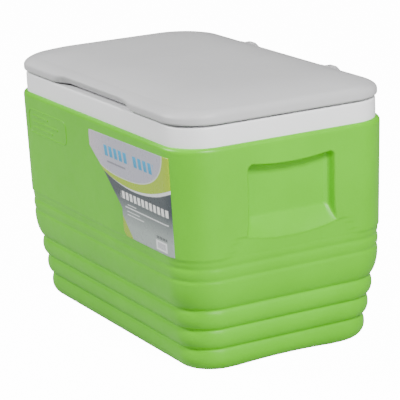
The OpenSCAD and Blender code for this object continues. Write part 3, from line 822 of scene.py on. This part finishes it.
def label_finish():
    """Printed film: plain shapes laid over each other by their formulas in X and Z, in
    millimetres."""
    s = bpy.context.scene.cooler_label
    tree = Tree("label_print")
    split = tree.nodes.new("ShaderNodeSeparateXYZ")
    tree.feed(split.inputs[0], tree.place)
    x = tree.math("MULTIPLY", split.outputs["X"], 1000.0)
    z = tree.math("MULTIPLY", split.outputs["Z"], 1000.0)

    def soft_above(value, limit, edge=0.5):
        """1 where the value is over a limit, 0 below it."""
        return tree.spread(value, limit - edge, limit + edge, 0.0, 1.0)

    def band(value, low, high, edge=0.4):
        """1 where the value lies between two limits."""
        return tree.math("MULTIPLY", soft_above(value, low, edge),
                         tree.math("SUBTRACT", 1.0, soft_above(value, high, edge)))

    def both(a, b):
        return tree.math("MULTIPLY", a, b)

    def blocks(pitch, duty, lean):
        """Repeating slanted blocks along X."""
        slanted = tree.math("MULTIPLY_ADD", z, lean, x)
        part = tree.math("FRACT", tree.math("DIVIDE", slanted, pitch))
        return band(part, 0.06, duty, 0.04)

    # Dark field that pales towards its foot
    ground = tree.mix(tree.spread(z, 228.0, 186.0, 0.0, 1.0), rgba(s.charcoal), rgba(s.mist))
    # Lime crescent above a parabola, edged by a pale line that widens to the right
    away = tree.math("SUBTRACT", x, 115.0)
    curve = tree.math("MULTIPLY_ADD", tree.math("MULTIPLY", away, away), 0.00165, 241.0)
    over = tree.math("SUBTRACT", z, curve)
    width = tree.spread(x, 50.0, 200.0, 0.0, 5.0)
    line = both(soft_above(tree.math("ADD", over, width), 0.0),
                tree.math("SUBTRACT", 1.0, soft_above(over, 0.0)))
    ground = tree.mix(line, ground, (0.72, 0.74, 0.74, 1))
    ground = tree.mix(soft_above(over, 0.0), ground, rgba(s.lime))

    def far(value, centre, half):
        """Share of a superellipse's reach along one axis."""
        part = tree.math("DIVIDE", tree.math("SUBTRACT", value, centre), half)
        return tree.math("POWER", tree.math("ABSOLUTE", part), 2.4)

    # Silver oval with a pale edge
    oval = tree.math("SUBTRACT", 1.0, tree.math("ADD", far(x, 95.0, 117.0), far(z, 312.0, 60.0)))
    ground = tree.mix(band(oval, -0.05, 0.0, 0.02), ground, (0.62, 0.64, 0.66, 1))
    sheen = tree.mix(tree.spread(x, 0.0, 60.0, 0.0, 1.0), (0.50, 0.45, 0.50, 1), rgba(s.silver))
    ground = tree.mix(soft_above(oval, 0.0, 0.01), ground, sheen)

    # Cyan bars in two groups, and a thin line under them
    bars = both(band(z, 275.0, 290.0), blocks(14.6, 0.72, 0.22))
    spans = tree.math("ADD", band(x, 37.0, 110.0), band(x, 125.0, 187.0))
    inner = tree.mix(tree.spread(z, 275.0, 290.0, 0.0, 1.0), rgba(s.cyan), rgba(s.cyan, 1.35))
    ground = tree.mix(both(bars, spans), ground, inner)
    under = both(band(z, 266.0, 268.5), band(x, 48.0, 104.0))
    ground = tree.mix(under, ground, (0.2, 0.2, 0.24, 1))
    # White blocks on the dark field, with thin lines below
    caption = both(band(z, 222.5, 233.0), both(band(x, 84.0, 222.0), blocks(11.5, 0.74, 0.12)))
    ground = tree.mix(caption, ground, (0.82, 0.83, 0.80, 1))
    for low, high, start, end in ((210.9, 212.7, 96, 221), (215.4, 216.6, 103, 129),
                                  (200.8, 202.2, 101, 150), (205.6, 206.8, 101, 138)):
        ground = tree.mix(both(band(z, low, high, 0.3), band(x, start, end)), ground,
                          (0.66, 0.68, 0.68, 1))
    # Lime corner at the lower left
    in_leaf = tree.math("SUBTRACT", 1.0, soft_above(tree.math("ADD", x, z), 283.0, 1.2))
    ground = tree.mix(both(in_leaf, band(z, 160.0, 200.0, 2.0)), ground, rgba(s.lime, 0.9))
    # Small dark marks over a white box with stripes at the lower right
    marks = both(band(z, 187.5, 191.5), both(band(x, 184.0, 216.0), blocks(4.3, 0.7, 0)))
    ground = tree.mix(marks, ground, (0.03, 0.035, 0.04, 1))
    box = both(band(z, 171.5, 185.0), band(x, 183.0, 214.0))
    ground = tree.mix(box, ground, (0.80, 0.81, 0.82, 1))
    stripes = both(band(z, 174.0, 182.5), both(band(x, 187.0, 210.0), blocks(2.3, 0.5, 0)))
    ground = tree.mix(stripes, ground, (0.12, 0.12, 0.16, 1))

    tree.feed(tree.shader.inputs["Base Color"], ground)
    gloss = tree.spread(tree.noise(90.0, 3.0), 0.3, 0.7, 0.24, 0.34)
    tree.feed(tree.shader.inputs["Roughness"], gloss)
    tree.feed(tree.shader.inputs["Normal"], tree.bump(tree.noise(45.0, 2.0), 0.15 * MM, 0.5))
    return tree


def foam_finish():
    """Rigid foam: pale yellow cells with darker pores."""
    tree = Tree("foam")
    cells = tree.nodes.new("ShaderNodeTexVoronoi")
    tree.feed(cells.inputs["Vector"], tree.place)
    cells.inputs["Scale"].default_value = 420.0
    pore = cells.outputs["Distance"]
    shade = tree.spread(pore, 0.1, 0.7, 0.0, 1.0)
    base = tree.mix(shade, (0.86, 0.74, 0.44, 1), (0.66, 0.52, 0.26, 1))
    tree.feed(tree.shader.inputs["Base Color"], base)
    tree.shader.inputs["Roughness"].default_value = 0.9
    tree.feed(tree.shader.inputs["Normal"], tree.bump(pore, 0.5 * MM, 0.7))
    return tree


def steel_finish():
    """Zinc-plated steel: a fine grain and cloudy gloss."""
    tree = Tree("steel")
    tree.shader.inputs["Metallic"].default_value = 1.0
    cloud = tree.noise(240.0, 4.0)
    shade = tree.spread(cloud, 0.3, 0.7, 0.0, 1.0)
    base = tree.mix(shade, (0.50, 0.51, 0.53, 1), (0.66, 0.67, 0.68, 1))
    tree.feed(tree.shader.inputs["Base Color"], base)
    tree.feed(tree.shader.inputs["Roughness"], tree.spread(cloud, 0.3, 0.7, 0.26, 0.42))
    tree.feed(tree.shader.inputs["Normal"], tree.bump(tree.noise(2600.0, 2.0), 0.03 * MM, 0.5))
    return tree


def finish(slot):
    """The material of a slot, made on its first use."""
    if slot in FINISHES:
        return FINISHES[slot]
    shell, lid = bpy.context.scene.cooler_shell, bpy.context.scene.cooler_lid
    if slot == "shell_green":
        tree = moulded(slot, shell.green, 0.36, 0.035 * MM, 0.10 * MM)
        tree.shader.inputs["Specular IOR Level"].default_value = 0.32
    elif slot == "lid_grey":
        tree = moulded(slot, lid.grey, 0.50, 0.07 * MM, 0.12 * MM, 0.03)
    elif slot == "hinge_grey":
        tree = moulded(slot, [0.9 * v for v in lid.grey], 0.46, 0.05 * MM, 0.05 * MM, 0.03)
    elif slot == "liner_white":
        tree = moulded(slot, lid.white, 0.34, 0.03 * MM, 0.10 * MM, 0.02)
    elif slot == "label_print":
        tree = label_finish()
    elif slot == "foam":
        tree = foam_finish()
    elif slot == "steel":
        tree = steel_finish()
    else:
        raise ValueError("no finish is written for slot " + slot)
    FINISHES[slot] = tree.material
    return tree.material


# ------------------------ studio


def area_light(name, place, target, size, power):
    """Soft square light at a place, turned to a target."""
    data = bpy.data.lights.new(name, "AREA")
    data.shape = "SQUARE"
    data.size = size
    data.energy = power
    light = add_object(name, data)
    look = Vector(target) - Vector(place)
    turn = look.to_track_quat("-Z", "Y").to_matrix().to_4x4()
    light.matrix_world = Matrix.Translation(place) @ turn


def make_camera():
    """Camera on a sphere round the aim point, rolled about its own axis."""
    s = bpy.context.scene.cooler_studio
    azimuth, elevation = math.radians(s.azimuth), math.radians(s.elevation)
    back = Vector((math.sin(azimuth) * math.cos(elevation),
                   -math.cos(azimuth) * math.cos(elevation), math.sin(elevation)))
    data = bpy.data.cameras.new("camera")
    data.lens = s.lens
    data.sensor_width = 36.0
    data.clip_end = 50.0
    camera = add_object("camera", data)
    turn = back.to_track_quat("Z", "Y").to_matrix().to_4x4()
    place = Matrix.Translation(Vector(s.aim) + back * s.distance)
    camera.matrix_world = place @ turn @ Matrix.Rotation(math.radians(s.roll), 4, "Z")
    bpy.context.scene.camera = camera


def make_floor():
    """Pale floor that reaches far enough to read as a seamless ground."""
    across = np.linspace(-7, 7, 3)
    x, y = np.meshgrid(across, across)
    points = np.stack([x, y, 0 * x - 0.2 * MM], axis=2).reshape(-1, 3)
    faces = [(0, 1, 4, 3), (1, 2, 5, 4), (3, 4, 7, 6), (4, 5, 8, 7)]
    mesh = bpy.data.meshes.new("floor")
    mesh.from_pydata(points.tolist(), [], faces)
    tree = Tree("floor")
    base = tree.mix(tree.noise(0.7, 2.0), (0.42, 0.42, 0.42, 1), (0.46, 0.46, 0.46, 1))
    tree.feed(tree.shader.inputs["Base Color"], base)
    tree.shader.inputs["Roughness"].default_value = 0.9
    seen = tree.nodes.new("ShaderNodeLightPath").outputs["Is Camera Ray"]
    tree.shader.inputs["Emission Color"].default_value = (1.0, 1.0, 1.0, 1.0)
    tree.feed(tree.shader.inputs["Emission Strength"], tree.math("MULTIPLY", seen, 14.0))
    mesh.materials.append(tree.material)
    add_object("floor", mesh)


def make_world():
    """Even white surroundings, brighter as a backdrop than as a light."""
    s = bpy.context.scene.cooler_studio
    world = bpy.data.worlds.new("studio")
    world.use_nodes = True
    nodes, links = world.node_tree.nodes, world.node_tree.links
    background = nodes["Background"]
    background.inputs["Color"].default_value = (1.0, 1.0, 1.0, 1.0)
    seen = nodes.new("ShaderNodeLightPath").outputs["Is Camera Ray"]
    strength = nodes.new("ShaderNodeMapRange")
    strength.inputs["To Min"].default_value = s.ambient
    strength.inputs["To Max"].default_value = s.backdrop
    links.new(seen, strength.inputs["Value"])
    links.new(strength.outputs["Result"], background.inputs["Strength"])
    bpy.context.scene.world = world


# ------------------------ operators


class COOLER_OT_shell(bpy.types.Operator):
    """Build the ribbed shell and the raised badge on its front"""

    bl_idname = "cooler.shell"
    bl_label = "Shell"

    def execute(self, context):
        make_shell(finish("shell_green"))
        make_badge(finish("shell_green"))
        return {"FINISHED"}


class COOLER_OT_label(bpy.types.Operator):
    """Build the printed label on the front"""

    bl_idname = "cooler.label"
    bl_label = "Label"

    def execute(self, context):
        make_label(finish("label_print"))
        return {"FINISHED"}


class COOLER_OT_liner(bpy.types.Operator):
    """Build the white tub and its rim"""

    bl_idname = "cooler.liner"
    bl_label = "Liner"

    def execute(self, context):
        make_liner(finish("liner_white"))
        return {"FINISHED"}


class COOLER_OT_lid(bpy.types.Operator):
    """Build the lid's cover, its lower pan, the foam between them and the hinge lugs"""

    bl_idname = "cooler.lid"
    bl_label = "Lid"

    def execute(self, context):
        make_cover(finish("lid_grey"))
        make_pan(finish("liner_white"))
        make_lid_foam(finish("foam"))
        for side in LUG_BOXES:
            make_lug(side, finish("hinge_grey"))
        return {"FINISHED"}


class COOLER_OT_fittings(bpy.types.Operator):
    """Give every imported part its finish; those not replaced by a piece stay in sight"""

    bl_idname = "cooler.fittings"
    bl_label = "Fittings"

    def execute(self, context):
        for part in frame["record"]["subparts"]:
            node = frame["nodes"][part["node"]]
            node.data.materials.clear()
            node.data.materials.append(finish(part["material_slot"]))
        return {"FINISHED"}


class COOLER_OT_studio(bpy.types.Operator):
    """Set up the floor, the lights and the camera"""

    bl_idname = "cooler.studio"
    bl_label = "Studio"

    def execute(self, context):
        make_floor()
        make_world()
        for name, place, size, power in LIGHTS:
            area_light(name, place, (0.0, 0.0, 0.18), size, power)
        make_camera()
        return {"FINISHED"}


class COOLER_PT_panel(bpy.types.Panel):
    """Sidebar panel that builds the chest piece by piece"""

    bl_label = "Cooler chest"
    bl_idname = "COOLER_PT_panel"
    bl_space_type = "VIEW_3D"
    bl_region_type = "UI"
    bl_category = "Cooler"

    def draw(self, context):
        for step in STEPS:
            self.layout.operator(step.bl_idname)


STEPS = (
    COOLER_OT_shell, COOLER_OT_label, COOLER_OT_liner, COOLER_OT_lid, COOLER_OT_fittings,
    COOLER_OT_studio,
)
SETTINGS = {
    "cooler_shell": ShellSettings, "cooler_lid": LidSettings, "cooler_label": LabelSettings,
    "cooler_studio": StudioSettings,
}


def register():
    """Registers the settings, the operators and the panel."""
    for name, group in SETTINGS.items():
        bpy.utils.register_class(group)
        setattr(bpy.types.Scene, name, PointerProperty(type=group))
    for step in STEPS + (COOLER_PT_panel,):
        bpy.utils.register_class(step)


def unregister():
    """Removes what register added."""
    for step in (COOLER_PT_panel,) + STEPS[::-1]:
        bpy.utils.unregister_class(step)
    for name, group in SETTINGS.items():
        delattr(bpy.types.Scene, name)
        bpy.utils.unregister_class(group)


def main():
    """Registers the settings, operators and panel, then builds every piece in order."""
    register()
    for name in ("shell", "label", "liner", "lid", "fittings", "studio"):
        getattr(bpy.ops.cooler, name)()


if __name__ == "__main__":
    main()
